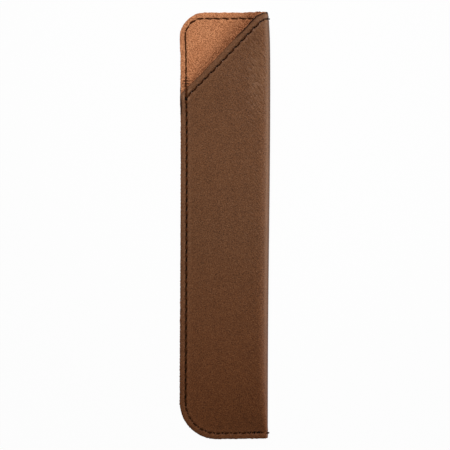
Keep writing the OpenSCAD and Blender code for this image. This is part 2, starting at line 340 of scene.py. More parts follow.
def closing_line(inset, top_end_x):
    """The closing seam's line, or the cut edge at inset 0, from the fold's foot to the top."""
    top_r = TOP_CORNER_R if inset else TOP_CUT_R
    r_low, r_top = BOTTOM_CORNER_R - inset, top_r - inset
    low = (LEFT_X + BOTTOM_CORNER_R, BOTTOM_Y + BOTTOM_CORNER_R)
    top = (LEFT_X + top_r, TOP_Y - top_r)
    y_low, y_top, x = BOTTOM_Y + inset, TOP_Y - inset, LEFT_X + inset
    return join(
        line((fold_x(y_low), y_low), (low[0], y_low)),
        arc(low, r_low, 270, 180),
        line((x, low[1]), (x, top[1])),
        arc(top, r_top, 180, 90),
        line((top[0], y_top), (top_end_x, y_top)),
    )


def mouth_line(inset, from_x, to_x):
    xs = np.linspace(from_x, to_x, int(abs(to_x - from_x) / MOUTH_STEP))
    return on_panel(FRONT, np.stack([xs, mouth_y(xs, inset)], axis=-1))


def mouth_line_over_fold(inset, angles):
    """The mouth's line where it turns over the fold, which the angles go round."""
    x = fold_x(TOP_Y) + (MOUTH_GAP / 2 + PLY) * np.cos(np.radians(angles))
    return np.stack([FOLD_HALF * angles / 90, mouth_y(x, inset)], axis=-1)


class Seam:
    """A line of stitches on the pattern, measured along the outer face, and its needle holes."""

    def __init__(self, points):
        self.uv = points
        self.s = lengths_along(place(*points.T, PLY))
        self.across = left_of(np.gradient(points, axis=0))
        self.tree = tree_of(points)

    def at(self, s, aside=0.0):
        u, v, a, b = (np.interp(s, self.s, c) for c in (*self.uv.T, *self.across.T))
        return u + aside * a, v + aside * b

    def length_at(self, u, v):
        """Length along the seam to where it comes nearest to a pattern point."""
        return self.s[self.tree.find((u, v, 0))[1]]

    def length_beside(self, side, x, y):
        return self.length_at(pattern_u(side, x, y), y)

    def near(self, uv):
        """How far along and aside each point in reach is. The others count as far aside."""
        along = np.zeros(len(uv))
        aside = np.full(len(uv), FAR)
        for i, (u, v) in enumerate(uv):
            _, k, d = self.tree.find((u, v, 0))
            if d < SEAM_REACH:
                sign = np.sign((uv[i] - self.uv[k]) @ self.across[k])
                along[i], aside[i] = self.s[k], d * (sign or 1)
        return along, aside


FOOT_SEAM_Y = BOTTOM_Y + SEAM_INSET
LOW_END_X = fold_x(FOOT_SEAM_Y) - FOLD_STOP
TOP_END_X = fold_x(TOP_Y - SEAM_INSET) - FOLD_STOP
JUNCTION_Y = mouth_y(SEAM_X, MOUTH_SEAM_INSET)
MOUTH_LOW_Y = mouth_y(SEAM_X)
WRAP_U = FOLD_HALF * WRAP_END_ANGLE / 90
SIDE_START_Y = BOTTOM_Y + BOTTOM_CORNER_R - SIDE_BLEND

whole_closing = closing_line(SEAM_INSET, TOP_END_X)
is_covered = (whole_closing[:, 0] > SEAM_X + TOLERANCE) & (whole_closing[:, 1] < 0)
is_covered |= (whole_closing[:, 1] < MOUTH_LOW_Y - COVERED)
front_closing = Seam(join(
    line((WRAP_U, FOOT_SEAM_Y), (FOLD_HALF, FOOT_SEAM_Y)),
    on_panel(FRONT, whole_closing[is_covered]),
))
back_closing = Seam(on_panel(BACK, whole_closing))
mouth_seam = Seam(join(
    mouth_line_over_fold(MOUTH_SEAM_INSET, np.linspace(MOUTH_WRAP_ANGLE, 90, MOUTH_WRAP_POINTS)),
    mouth_line(MOUTH_SEAM_INSET, fold_x(TOP_Y), SEAM_X + JUNCTION_STOP),
))


def evenly(a, b):
    """Places from a to b, about one stitch apart."""
    return np.linspace(a, b, max(1, round(abs(b - a) / STITCH_PITCH)) + 1)


def closing_holes(seam, side):
    """The holes of the closing seam: the tacks beside the fold, then stitches to the junction."""
    first = seam.length_beside(side, LOW_END_X, FOOT_SEAM_Y)
    junction = seam.length_beside(side, SEAM_X, JUNCTION_Y)
    tacks = first + TACK_PITCH * np.arange(TACK_COUNT)
    return np.concatenate([tacks, evenly(first + TACK_COUNT * TACK_PITCH, junction)])


bare_s = back_closing.length_beside(BACK, SEAM_X, MOUTH_LOW_Y + BARE_START)
bare_holes = evenly(bare_s, back_closing.s[-1])
front_closing.holes = closing_holes(front_closing, FRONT)
back_closing.holes = np.concatenate([closing_holes(back_closing, BACK), bare_holes])
climb_s = [
    mouth_seam.s[np.argmin(np.abs(mouth_seam.uv[:, 0] - FOLD_HALF * angle / 90))]
    for angle in CLIMB_ANGLES
]
mouth_seam.holes = np.concatenate([
    climb_s[:-1], evenly(climb_s[-1] + CLIMB_REST, mouth_seam.s[-1])
])
SEAMS = (front_closing, back_closing, mouth_seam)

# Pattern, and its triangles

EDGE_STEP = 0.42
EDGE_RINGS = (0.1, 0.26)
EDGE_REACH = 1
FOLD_TOP_POINTS = 90
SEAM_RINGS = (0, 0.17, 0.36, 0.6, 0.95, 1.35)
RING_STEP = 0.29
RING_MARGIN = 0.2
RING_CLEARANCE = 0.6
GRID_STEP = 1.05
FOLD_STEP = 0.55
GRID_CLEARANCE = 0.3
MERGE_REACH = 1e-5
EDGE_ROUND = 0.3
SHARP_ANGLE = 50


def outline():
    """The pattern's closed outline, anticlockwise in u and v."""
    back = closing_line(0, fold_x(TOP_Y))
    back = back[(back[:, 0] <= fold_x(BOTTOM_Y)) | (back[:, 1] > 0)]
    back_uv = on_panel(BACK, back)[::-1]
    fold_foot = line((-FOLD_HALF, BOTTOM_Y), (FOLD_HALF, BOTTOM_Y))
    low = closing_line(0, LEFT_X + TOP_CUT_R)
    low = low[low[:, 1] < mouth_y(LEFT_X) - COVERED]
    mouth = mouth_line(0, LEFT_X, fold_x(TOP_Y))
    fold_top = mouth_line_over_fold(0, np.linspace(90, -90, FOLD_TOP_POINTS))
    fold_top[fold_top[:, 0] <= 0, 1] = TOP_Y
    return join(back_uv, fold_foot, on_panel(FRONT, low), mouth, fold_top)


def respaced(points, step, closed=False):
    if closed:
        points = np.concatenate([points, points[:1]])
    s = lengths_along(points)
    n = round(s[-1] / step)
    at = np.linspace(0, s[-1], n + 1)[: n if closed else n + 1]
    return np.stack([np.interp(at, s, c) for c in points.T], axis=-1)


def inward(loop):
    """Unit vectors into an anticlockwise loop."""
    return left_of(np.roll(loop, -1, axis=0) - np.roll(loop, 1, axis=0))


edge_loop = respaced(outline(), EDGE_STEP, closed=True)
edge_tree = tree_of(edge_loop)


def thinned(candidates, kept, clearance):
    """The candidates that are clear of the points already kept."""
    tree = tree_of(kept)
    clear = [tree.find((u, v, 0))[2] > clearance for u, v in candidates]
    return candidates[np.array(clear, bool)]


def grid_points():
    """Staggered points over the whole pattern, closer together across the fold."""
    u_end = edge_loop[:, 0].max()
    panel = np.arange(FOLD_HALF, u_end, GRID_STEP)
    fold = np.arange(-FOLD_HALF + FOLD_STEP, FOLD_HALF, FOLD_STEP)
    across = np.concatenate([-panel[::-1], fold, panel])
    steps = np.gradient(across)
    rows = np.arange(BOTTOM_Y, TOP_Y, GRID_STEP)
    return np.concatenate([
        np.stack([across + (i % 2) * steps / 2, np.full(len(across), v)], axis=-1)
        for i, v in enumerate(rows)
    ])


def pattern_points():
    """Points inside the outline: rings beside it, rings beside the seams, and a grid between."""
    into = inward(edge_loop)
    kept = np.concatenate([edge_loop] + [edge_loop + d * into for d in EDGE_RINGS])
    for seam in SEAMS:
        run = respaced(seam.uv, RING_STEP)
        s = np.array([seam.length_at(u, v) for u, v in run])
        for ring in SEAM_RINGS:
            clearance = RING_CLEARANCE * min(ring + RING_MARGIN, RING_STEP)
            for side in (1, -1) if ring else (1,):
                moved = np.stack(seam.at(s, side * ring), axis=-1)
                kept = np.concatenate([kept, thinned(moved, kept, clearance)])
    kept = np.concatenate([kept, thinned(grid_points(), kept, GRID_CLEARANCE)])
    return kept[len(edge_loop) :]


def inside(points, loop):
    """Which points lie inside the loop, by counting the edges that a ray from each crosses."""
    odd = np.zeros(len(points), bool)
    x, y = points.T
    for (ax, ay), (bx, by) in zip(loop, np.roll(loop, -1, axis=0)):
        spans = (ay > y) != (by > y)
        odd ^= spans & (x < ax + (y - ay) * (bx - ax) / (by - ay if by != ay else 1))
    return odd


def triangulated(points):
    """The outline with the points that lie inside it, and the triangles between them all."""
    n = len(edge_loop)
    points = np.concatenate([edge_loop, points[inside(points, edge_loop)]])
    edges = [(i, (i + 1) % n) for i in range(n)]
    made = delaunay_2d_cdt([Vector(p) for p in points], edges, [], 0, MERGE_REACH, True)
    uv = np.array([(p.x, p.y) for p in made[0]])
    triangles = np.array(made[2])
    return uv, triangles[inside(uv[triangles].mean(axis=1), edge_loop)]


pattern_uv, pattern_triangles = triangulated(pattern_points())
sheet_u, sheet_v = pattern_uv.T
sheet_x = panel_x(sheet_u, sheet_v)
on_back = sheet_u < 0


def border(triangles):
    """The directed edges that only one triangle has."""
    edges = np.concatenate([triangles[:, [0, 1]], triangles[:, [1, 2]], triangles[:, [2, 0]]])
    keys = {tuple(e) for e in edges}
    return np.array([e for e in keys if (e[1], e[0]) not in keys])


border_edges = border(pattern_triangles)

# Relief of the sewn faces

edge_distance = np.zeros(len(pattern_uv))
edge_into = np.zeros((len(pattern_uv), 2))
loop_into = inward(edge_loop)
for i, (u, v) in enumerate(pattern_uv):
    _, k, d = edge_tree.find((u, v, 0))
    offset = pattern_uv[i] - edge_loop[k]
    edge_distance[i] = abs(offset @ loop_into[k]) if d < EDGE_REACH else d
    edge_into[i] = loop_into[k]


def hole_offsets(s, holes):
    """Distance along the seam to the nearest hole."""
    k = np.clip(np.searchsorted(holes, s), 1, len(holes) - 1)
    before, after = s - holes[k - 1], s - holes[k]
    return np.where(np.abs(before) < np.abs(after), before, after)


def seam_relief(seam, groove_depth, shoulder, hole_depth=HOLE_DEPTH):
    """Height that a seam adds to a face."""
    s, aside = seam.near(pattern_uv)
    d = np.abs(aside)
    ds = hole_offsets(s, seam.holes)
    on_side = ramp(sheet_v, SIDE_START_Y, SIDE_START_Y + SIDE_BLEND)
    straight = on_side * (seam is not mouth_seam)
    slant = np.radians(lerp(HOLE_SLANT, SIDE_HOLE_SLANT, straight))
    a = ds * np.cos(slant) + aside * np.sin(slant)
    b = aside * np.cos(slant) - ds * np.sin(slant)
    hole = bell(a, 0, lerp(HOLE_LENGTH, SIDE_HOLE_LENGTH, straight)) * bell(b, 0, HOLE_WIDTH)
    tension = lerp(1 - GROOVE_DIP, 1, bell(ds, 0, GROOVE_DIP_LENGTH))
    tension *= lerp(FOOT_GROOVE_SHARE, 1, on_side)
    groove = groove_depth * tension * bell(d, 0, GROOVE_WIDTH)
    side = shoulder * bell(d, SHOULDER_PLACE, SHOULDER_WIDTH)
    pucker = PUCKER * (shoulder / SHOULDER) * bell(d, PUCKER_PLACE, PUCKER_WIDTH)
    pucker *= bell(ds, 0, PUCKER_LENGTH)
    return side + pucker - groove - hole_depth * hole


# Meshes


def add_object(name, data):
    obj = bpy.data.objects.new(name, data)
    scene.collection.objects.link(obj)
    return obj


def make_object(name, points, faces, material, node):
    """A smooth mesh from millimetre points and arrays of faces."""
    mesh = bpy.data.meshes.new(name)
    mesh.from_pydata((points * MM).tolist(), [], [f for kind in faces for f in kind.tolist()])
    mesh.validate()
    mesh.shade_smooth()
    mesh.set_sharp_from_angle(angle=math.radians(SHARP_ANGLE))
    mesh.materials.append(material)
    obj = add_object(name, mesh)
    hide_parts(node)
    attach(obj, "root")
    return obj


def set_field(obj, name, values):
    """Keeps one number at each point of the mesh, for its material."""
    field = obj.data.attributes.new(name, "FLOAT", "POINT")
    field.data.foreach_set("value", values.astype(np.float32))


# Rings of the cut edge: share of the way to the inner face, and how far each stands out
WALL_RINGS = ((0.3, 0.05), (0.7, 0.05))


def sheet_mesh(outer, inner, outer_height, inner_height, shift):
    """Points and faces of one layer: outer face, inner face and the cut edge between them."""
    uv = pattern_uv - edge_into * shift[:, None]
    n = len(uv)
    rim = np.unique(border_edges)
    top, bottom = np.arange(n), n + np.arange(n)
    points = [place(*uv.T, outer + outer_height), place(*uv.T, inner - inner_height)]
    count = 2 * n
    chain = [top]
    for share, bulge in WALL_RINGS:
        depth = lerp((outer + outer_height)[rim], (inner - inner_height)[rim], share)
        points.append(place(*(uv[rim] - edge_into[rim] * bulge).T, depth))
        number = np.full(n, -1)
        number[rim] = count + np.arange(len(rim))
        chain.append(number)
        count += len(rim)
    chain.append(bottom)
    a, b = border_edges.T
    walls = [
        np.stack([above[b], above[a], below[a], below[b]], axis=-1)
        for above, below in zip(chain, chain[1:])
    ]
    faces = [pattern_triangles, bottom[pattern_triangles[:, ::-1]], *walls]
    return np.concatenate(points), faces, rim


def rounding(drop):
    """Height that the rounding of the cut edge takes off a face."""
    return -drop * (1 - ramp(edge_distance, 0, EDGE_ROUND)) ** 2


# Materials

# Turn that takes the noise off the axes
TILT = (0.6, 0.45, 0)

# Directions of the fine creases: in the skin beside the fold, in the nap beside the mouth's edge
SKIN_CREASE_ANGLE = 34
NAP_CREASE_ANGLE = -46
CREASE_STRETCH = 3.5

# Tones laid over a colour where a field of the mesh says so: the field, the values between which
# the tone comes in, its share in the end, and the tone
SKIN_OVERLAYS = (
    # Painted highlights on the raised shoulders beside the seams and on the puckers by the holes
    ("relief", 0, 0.16, 0.38, "7e563b"),
    ("relief", 0.09, 0.16, 0.5, "946a4b"),
    # Painted shade, near black, in the needle holes and the deepest grooves
    ("relief", -0.16, -0.42, 0.95, "0c0402"),
    ("cut", 0.3, 1, 0.9, "3a1a0a"),
    ("rim", 0.3, 0.75, 0.95, "1a0b05"),
)
# Painted shadow of the front panel on the lining along the mouth's edge
NAP_MOUTH_SHADOW = ("crease_and_painted_light", 0.05, 1, 0.45, "7e4424")
# Painted shade in the lining's seam grooves, holes and ripple troughs
NAP_HOLLOW_SHADE = ("relief", -0.05, -0.3, 0.85, "3a1c0c")
THREAD_OVERLAYS = (
    # Painted shade in the grooves between the thread's plies
    ("crease", 0, 1, 0.7, "180802"),
    # Painted shade where the thread sinks into the holes or is set deeper
    ("depth", 0.08, 0.26, 0.97, "080200"),
)

# Where the skin is dull: the field, and the values between which it grows dull
SKIN_DULLNESS = (("cut", 0.1, 0.6), ("rim", 0.1, 0.5))

# Painted shade along the sleeve: the skin is tinted warmer towards the foot and darker towards the
# mouth, after how the light falls there: two places, and the tint
SKIN_SHADE_TINTS = (
    (-4, -74, (1.24, 1.0, 0.74, 1)),
    (26, 52, (0.92, 0.92, 0.92, 1)),
)
# Painted shade, multiplied in where the fold turns away at its middle
SPINE_SHADE_TINT = (0.6, 0.52, 0.41, 1)


def srgb(text):
    """A colour written as six hexadecimal digits, as the linear values that shaders take."""
    parts = [int(text[i : i + 2], 16) / 255 for i in (0, 2, 4)]
    linear = [c / 12.92 if c <= 0.04045 else ((c + 0.055) / 1.055) ** 2.4 for c in parts]
    return (*linear, 1)


class Material:
    """A material, with short calls that add to its nodes. Sizes are in millimetres."""

    def __init__(self, name):
        self.made = bpy.data.materials.new(name)
        self.made.use_nodes = True
        self.nodes = self.made.node_tree.nodes
        self.shader = self.nodes["Principled BSDF"]

    def put(self, value, socket):
        """Links an output to the socket, or sets the socket to a number or a colour."""
        if isinstance(value, bpy.types.NodeSocket):
            self.made.node_tree.links.new(value, socket)
        else:
            socket.default_value = srgb(value) if isinstance(value, str) else value

    def node(self, kind, **settings):
        """A node whose settings are inputs, where it has one of that name, or else properties."""
        made = self.nodes.new("ShaderNode" + kind)
        for name, value in settings.items():
            label = name.replace("_", " ")
            if label in made.inputs:
                self.put(value, made.inputs[label])
            else:
                setattr(made, name, value)
        return made

    def surface(self, **inputs):
        """Gives the shader its inputs, and returns the material."""
        for name, value in inputs.items():
            self.put(value, self.shader.inputs[name.replace("_", " ")])
        return self.made

    def field(self, name):
        return self.node("Attribute", attribute_name=name).outputs["Fac"]

    def place_in(self):
        return self.node("TexCoord").outputs["Object"]

    def tilted(self):
        """The place turned off the axes, so that a flat face cuts the noise at a slant."""
        return self.node("Mapping", Vector=self.place_in(), Rotation=TILT).outputs["Vector"]

    def noise(self, coordinates, size, detail=2.0, roughness=0.5, distortion=0.0):
        """Noise whose features are about one size across."""
        made = self.node(
            "TexNoise", Vector=coordinates, Scale=1 / (size * MM), Detail=detail,
            Roughness=roughness, Distortion=distortion,
        )
        return made.outputs["Fac"]

    def creases(self, angle, size):
        """Height of the fine creases where the sheet is strained, at an angle from the y axis."""
        turned = self.node(
            "Mapping", vector_type="TEXTURE", Vector=self.place_in(),
            Rotation=(0, 0, math.radians(angle)), Scale=(1, CREASE_STRETCH, 1),
        )
        lines = self.noise(turned.outputs["Vector"], size, distortion=0.3)
        return self.maths("MULTIPLY", lines, self.field("crease_and_painted_light"))

    def maths(self, operation, a, b):
        """Output of a math node on two numbers or outputs."""
        made = self.node("Math", operation=operation)
        for value, socket in zip((a, b), made.inputs):
            self.put(value, socket)
        return made.outputs[0]

    def ramp(self, value, start, end, least=0, most=1):
        """Goes from least to most while the value goes from start to end."""
        made = self.node(
            "MapRange", Value=value, From_Min=start, From_Max=end, To_Min=least, To_Max=most
        )
        return made.outputs["Result"]

    def mixed(self, factor, low, high, blend="MIX"):
        """Colour output of a mix of two colours or colour outputs."""
        made = self.node("Mix", data_type="RGBA", blend_type=blend)
        for number, value in ((0, factor), (6, low), (7, high)):
            self.put(value, made.inputs[number])
        return made.outputs[2]

    def overlaid(self, colour, name, start, end, share, tone):
        """The colour with a tone laid over it, as a field goes from start to end."""
        return self.mixed(self.ramp(self.field(name), start, end, most=share), colour, tone)

    def bumped(self, *layers):
        """The normal after bumps on one another, each with its height, strength and depth."""
        normal = None
        for height, strength, depth in layers:
            made = self.node("Bump", Height=height, Strength=strength, Distance=depth * MM)
            if normal:
                self.put(normal, made.inputs["Normal"])
            normal = made.outputs["Normal"]
        return normal


def leatherette():
    made = Material("leatherette")
    grain_in = made.tilted()
    mottle = made.ramp(made.noise(grain_in, size=5), 0.35, 0.65)
    colour = made.mixed(mottle, "6e462b", "72492d")
    grain = made.ramp(made.noise(grain_in, size=0.34, roughness=0.7), 0.32, 0.6)
    colour = made.mixed(grain, "371d0b", colour)
    speck = made.ramp(made.noise(grain_in, size=0.33, roughness=0.6), 0.52, 0.75, most=0.9)
    colour = made.mixed(speck, colour, "8a6245")
    for overlay in SKIN_OVERLAYS:
        colour = made.overlaid(colour, *overlay)
    along = made.node("SeparateXYZ", Vector=made.place_in()).outputs["Y"]
    # Painted shade along the sleeve, from the tints above
    for start, end, tint in SKIN_SHADE_TINTS:
        colour = made.mixed(made.ramp(along, start * MM, end * MM), colour, tint, "MULTIPLY")
    folds = made.creases(SKIN_CREASE_ANGLE, size=0.7)
    # Painted highlight on the ridges of the creases
    colour = made.mixed(made.ramp(folds, 0.24, 0.5, most=0.22), colour, "946c4e")
    # Painted highlight along the fold's front half
    colour = made.mixed(made.field("painted_fold_highlight"), colour, "96704f")
    # Painted shade where the fold turns away at its middle
    colour = made.mixed(made.field("painted_spine_shade"), colour, SPINE_SHADE_TINT, "MULTIPLY")
    pebbles = made.node("TexVoronoi", feature="SMOOTH_F1", Scale=1 / (0.47 * MM), Vector=grain_in)
    normal = made.bumped(
        (pebbles.outputs["Distance"], 0.3, 0.12),
        (made.noise(grain_in, size=0.36, roughness=0.6), 0.5, 0.16),
        (made.noise(grain_in, size=2.6, distortion=0.6), 0.12, 0.3),
        (folds, 1.0, 0.7),
    )
    rough = made.ramp(grain, 0, 1, 0.52, 0.42)
    for name, start, end in SKIN_DULLNESS:
        rough = made.maths("MAXIMUM", rough, made.ramp(made.field(name), start, end, 0.4))
    return made.surface(Base_Color=colour, Normal=normal, Roughness=rough, Specular_IOR_Level=0.17)


def suede():
    made = Material("suede")
    nap_in = made.tilted()
    patch = made.ramp(made.noise(nap_in, size=5, detail=4, roughness=0.6), 0.3, 0.7)
    colour = made.mixed(patch, "c68258", "d18f64")
    # Painted shadow of the front panel along the mouth's edge
    colour = made.overlaid(colour, *NAP_MOUTH_SHADOW)
    nap = made.ramp(made.noise(nap_in, size=0.34, detail=3, roughness=0.8), 0.41, 0.54)
    colour = made.mixed(nap, "6a381c", colour)
    # Dark flecks of nap, partly the nap's own colour and partly painted shade, laid only in the
    # band beside the mouth
    tufted = made.ramp(made.noise(nap_in, size=0.45, roughness=0.7), 0.52, 0.45)
    beside_mouth = made.ramp(made.field("crease_and_painted_light"), 0.02, 0.45, most=0.62)
    flecks_and_shade = made.maths("MULTIPLY", tufted, beside_mouth)
    colour = made.mixed(flecks_and_shade, colour, "522712")
    # Painted shade in the lining's hollows
    colour = made.overlaid(colour, *NAP_HOLLOW_SHADE)
    normal = made.bumped(
        (made.noise(nap_in, size=0.5, detail=4, roughness=0.7), 0.8, 0.35),
        (made.noise(nap_in, size=1.6), 0.2, 0.3),
        (made.creases(NAP_CREASE_ANGLE, size=0.9), 1.0, 0.8),
    )
    return made.surface(
        Base_Color=colour, Normal=normal, Roughness=0.95, Specular_IOR_Level=0.1,
        Sheen_Weight=0.15, Sheen_Roughness=0.6, Sheen_Tint="e0b090",
    )


def sewing_thread():
    made = Material("sewing_thread")
    place_in = made.place_in()
    lint = made.ramp(made.noise(place_in, size=0.4, detail=3), 0.35, 0.65)
    colour = made.mixed(lint, "44210a", "5a3012")
    # Painted shade between the plies and where the thread has sunk
    for overlay in THREAD_OVERLAYS:
        colour = made.overlaid(colour, *overlay)
    normal = made.bumped((made.noise(place_in, size=0.12), 0.3, 0.04))
    return made.surface(Base_Color=colour, Normal=normal, Roughness=0.8, Specular_IOR_Level=0.08)


LEATHERETTE, SUEDE, THREAD = leatherette(), suede(), sewing_thread()

# Skin and lining

# Least thickness under the needle holes, and the gap that parts the two glued faces
LEAST_SKIN = 0.08
LEAST_LINING = 0.06
GLUE_GAP = 0.005

# The skin's cut edge: how far it sways, and how far in the colour of the cut reaches
SKIN_EDGE_DROP = 0.14
SKIN_RAGGED = 0.05
SKIN_RAGGED_LENGTH = 2.5
SKIN_RAGGED_FADE = 0.5
CUT_FADE = 0.12

# The strain that creases the skin, and with it the painted highlight on the creases: humps across
# it, each with its height, its distance from where the front panel begins and its width, and a
# hump along it
STRAIN_HUMPS = ((0.65, 1, 3.5), (0.35, 0, 18))
STRAIN_SHARE = 0.3
STRAIN_Y = 55
STRAIN_LENGTH = 14

# Painted light on the fold: a painted highlight on its front half, and painted shade near its
# middle, where it turns away from the light
FOLD_HIGHLIGHT = 0.24
FOLD_HIGHLIGHT_FADE = (-80, -30)
FOLD_HIGHLIGHT_U = 2.8
FOLD_HIGHLIGHT_WIDTH = 0.65
SPINE_U = 0.6
SPINE_WIDTH = 1.3

# The dark rim of the skin: along the mouth, and beside the mouth's lower end
RIM_REACH = 1.5
RIM_FADE = (1, 6)
MOUTH_RIM_WIDTH = 0.42
SIDE_RIM_WIDTH = 0.6
SIDE_RIM_REACH = 1
SIDE_RIM_DROP = 6
SIDE_RIM_LENGTH = 4


def skin_rim():
    """How dark each point of the outer face is beside its cut edge."""
    below_mouth = mouth_y(sheet_x) - sheet_v
    on_mouth = ~on_back & (below_mouth < RIM_REACH)
    on_side = bell(sheet_v, MOUTH_LOW_Y - SIDE_RIM_DROP, SIDE_RIM_LENGTH)
    on_side *= sheet_x < LEFT_X + SIDE_RIM_REACH
    dark = np.where(on_mouth, ramp(sheet_x, *RIM_FADE), on_side)
    return dark * bell(edge_distance, 0, np.where(on_mouth, MOUTH_RIM_WIDTH, SIDE_RIM_WIDTH))


def build_skin():
    relief = sum(seam_relief(seam, GROOVE_DEPTH, SHOULDER) for seam in SEAMS)
    relief = np.where(on_back, np.minimum(relief, 0), relief)
    relief = np.maximum(relief, LINING - PLY + LEAST_SKIN)
    outer_height = relief + rounding(SKIN_EDGE_DROP)
    inner_height = np.full(len(relief), -GLUE_GAP)
    shift = SKIN_RAGGED * waves(sheet_u, sheet_v, SKIN_RAGGED_LENGTH, seed=11)
    shift *= np.exp(-edge_distance / SKIN_RAGGED_FADE)
    points, faces, rim = sheet_mesh(PLY, LINING, outer_height, inner_height, shift)
    skin = make_object("leatherette_skin", points, faces, LEATHERETTE, "outer_skin")
    humps = sum(
        height * bell(sheet_u - FOLD_HALF, middle, width) for height, middle, width in STRAIN_HUMPS
    )
    crease_and_painted_light = humps * lerp(STRAIN_SHARE, 1, bell(sheet_v, STRAIN_Y, STRAIN_LENGTH))
    # Painted highlight on the fold, fading towards the foot
    painted_fold_highlight = FOLD_HIGHLIGHT * ramp(sheet_v, *FOLD_HIGHLIGHT_FADE) * bell(sheet_u, FOLD_HIGHLIGHT_U, FOLD_HIGHLIGHT_WIDTH)
    hidden = len(points) - len(relief)
    for name, values, elsewhere in (
        ("relief", relief, 0),
        ("crease_and_painted_light", crease_and_painted_light, 0),
        ("cut", np.exp(-edge_distance / CUT_FADE), 1),
        ("painted_fold_highlight", painted_fold_highlight, 0),
        ("painted_spine_shade", bell(sheet_u, SPINE_U, SPINE_WIDTH), 0),
    ):
        set_field(skin, name, np.concatenate([values, np.full(hidden, elsewhere)]))
    dark = skin_rim()
    walls = np.tile(dark[rim], len(WALL_RINGS))
    set_field(skin, "rim", np.concatenate([dark, np.zeros(len(dark)), walls]))
    return skin


# The seams' relief on the lining: the bare back panel's starts a little below the mouth's end,
# and stands up at its holes
BARE_LEAD = 4
BARE_GROOVE = 0.16
BARE_SHOULDER = 0.04
BARE_HOLE_DEPTH = -0.12
MOUTH_GROOVE = 0.12

# The lining's ripples beside the mouth's lower end
RIPPLE_DEPTH = 0.34
RIPPLE_BIAS = 0.4
RIPPLE_PITCH = 1.05
RIPPLE_BEND = 0.25
RIPPLE_RISE = 2.2
RIPPLE_LENGTH = 1.9
RIPPLE_WIDTH = 1.5

# The lining's cut edge: its mean shift, its waves with their height, length and seed, the place
# where it draws back, and the tufts near the fold
LINING_EDGE_DROP = 0.12
LINING_SHIFT = 0.07
LINING_WAVES = ((0.085, 1, 5), (0.04, 4, 6))
LINING_RAGGED_FADE = 0.35
LINING_SHY = 0.34
SHY_DROP = 0.4
SHY_LENGTH = 2.4
TUFT_HEIGHT = 0.2
TUFT_X = 12.6
TUFT_WIDTH = 2.2
TUFT_REACH = 3
TUFT_LENGTH = 0.9
TUFT_MEAN = 0.6
TUFT_SPREAD = 0.5

# Along the mouth's edge the nap is creased and carries the painted shadow of the front panel, less
# so towards its lower end
MOUTH_BAND_FADE = 2.5
MOUTH_BAND_SHARE = 0.3
MOUTH_BAND_RUN = 24


def lining_relief():
    bare = Seam(on_panel(BACK, whole_closing[whole_closing[:, 1] > MOUTH_LOW_Y - BARE_LEAD]))
    bare.holes = bare_holes - (back_closing.s[-1] - bare.s[-1])
    relief = seam_relief(bare, BARE_GROOVE, BARE_SHOULDER, BARE_HOLE_DEPTH)
    relief += seam_relief(mouth_seam, MOUTH_GROOVE, 0)
    rippled = bell(sheet_v, MOUTH_LOW_Y + RIPPLE_RISE, RIPPLE_LENGTH)
    rippled *= bell(sheet_x, SEAM_X, RIPPLE_WIDTH) * on_back
    bent_v = sheet_v + RIPPLE_BEND * np.abs(sheet_x - SEAM_X)
    ripple = np.cos(2 * math.pi * bent_v / RIPPLE_PITCH) - RIPPLE_BIAS
    return np.maximum(relief + RIPPLE_DEPTH * rippled * ripple, LEAST_LINING - LINING)


def lining_shift():
    """How far the lining's cut edge stands out past the skin's."""
    ragged = LINING_SHIFT
    for height, length, seed in LINING_WAVES:
        ragged = ragged + height * waves(sheet_u, sheet_v, length, seed=seed)
    tufts = bell(sheet_x, TUFT_X, TUFT_WIDTH) * (sheet_v > TOP_Y - TUFT_REACH) * on_back
    tufted = TUFT_MEAN + TUFT_SPREAD * waves(sheet_u, sheet_v, TUFT_LENGTH, seed=8)
    ragged += TUFT_HEIGHT * tufts * tufted
    ragged -= LINING_SHY * bell(sheet_v, MOUTH_LOW_Y - SHY_DROP, SHY_LENGTH)
    return ragged * np.exp(-edge_distance / LINING_RAGGED_FADE)


def build_lining():
    relief = lining_relief()
    inner_height = relief + rounding(LINING_EDGE_DROP)
    outer_height = np.full(len(relief), -GLUE_GAP)
    points, faces, _ = sheet_mesh(LINING, 0, outer_height, inner_height, lining_shift())
    lining = make_object("suede_lining_sheet", points, faces, SUEDE, "suede_lining")
    from_mouth = np.abs(sheet_v - mouth_y(sheet_x)) * math.cos(math.radians(MOUTH_ANGLE))
    # Mask for the nap's creases and for the painted shadow along the mouth
    crease_and_painted_light = np.where(on_back, np.exp(-from_mouth / MOUTH_BAND_FADE), 0)
    crease_and_painted_light *= lerp(MOUTH_BAND_SHARE, 1, ramp(sheet_x, LEFT_X, LEFT_X + MOUTH_BAND_RUN))
    outer = np.zeros(len(relief))
    walls = np.zeros(len(points) - 2 * len(relief))
    for name, values in (("relief", relief), ("crease_and_painted_light", crease_and_painted_light)):
        set_field(lining, name, np.concatenate([outer, values, walls]))
    return lining


# Threads

THREAD_R = 0.26
THREAD_SIDES = 12
THREAD_STEP = 0.13
PLY_COUNT = 3
PLY_DEPTH = 0.13
TWIST_LENGTH = 1.2
PHASE_STEP = 1.3
END_WIDTH = 0.55
END_TAPER = 0.15
LIFT, SINK = 0.05, 0.55
STITCH_POINTS = 26
STITCH_MARGIN = 0.02
SLANT_LEAN = 0.4
SLANT_CURL = 0.7
OUTER, INNER = 1, -1

